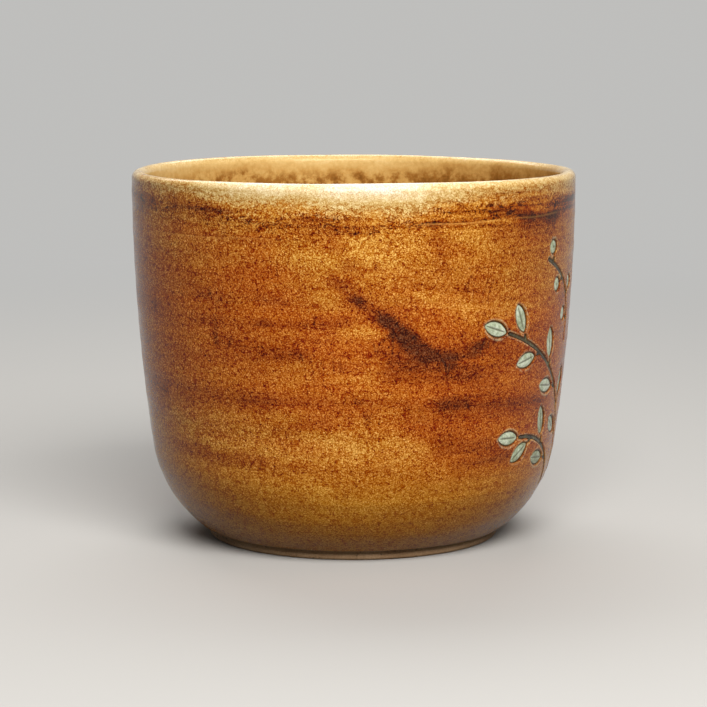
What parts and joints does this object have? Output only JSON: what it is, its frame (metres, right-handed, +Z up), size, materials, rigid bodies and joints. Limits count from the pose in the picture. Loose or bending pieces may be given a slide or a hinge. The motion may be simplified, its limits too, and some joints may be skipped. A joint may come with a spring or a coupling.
{
  "type": "handleless mug",
  "caption": "Handleless thrown stoneware mug: round belly, trimmed foot ring, glossy amber glaze, pale lip and a carved leafy sprig on one side.",
  "frame": {"origin": "centre of the foot ring, on the surface the mug stands on", "axes": "+Z up along the mug's axis, out of its mouth; the front of the picture at -Y, the sprig towards +X"},
  "size_m": [0.1, 0.1, 0.083],
  "materials": {
    "clay": "bare fired stoneware",
    "amber_glaze": "glossy",
    "pale_glaze": "glossy",
    "honey_glaze": "glossy",
    "dark_slip": "satin",
    "green_glaze": "glossy"
  },
  "bodies": {
    "root": {"berry_pool_01": "green_glaze", "berry_pool_02": "green_glaze", "berry_pool_03": "green_glaze", "berry_pool_04": "green_glaze", "clay_body": "clay", "leaf_pool_01": "green_glaze", "leaf_pool_02": "green_glaze", "leaf_pool_03": "green_glaze", "leaf_pool_04": "green_glaze", "leaf_pool_05": "green_glaze", "leaf_pool_06": "green_glaze", "leaf_pool_07": "green_glaze", "leaf_pool_08": "green_glaze", "leaf_pool_09": "green_glaze", "leaf_pool_10": "green_glaze", "leaf_pool_11": "green_glaze", "leaf_pool_12": "green_glaze", "leaf_pool_13": "green_glaze", "leaf_pool_14": "green_glaze", "leaf_pool_15": "green_glaze", "leaf_pool_16": "green_glaze", "liner_glaze": "honey_glaze", "outer_glaze": "amber_glaze", "rim_glaze": "pale_glaze", "stem_inlay_berried": "dark_slip", "stem_inlay_long": "dark_slip", "stem_inlay_low": "dark_slip", "stem_inlay_upright": "dark_slip"}
  },
  "joints": []
}
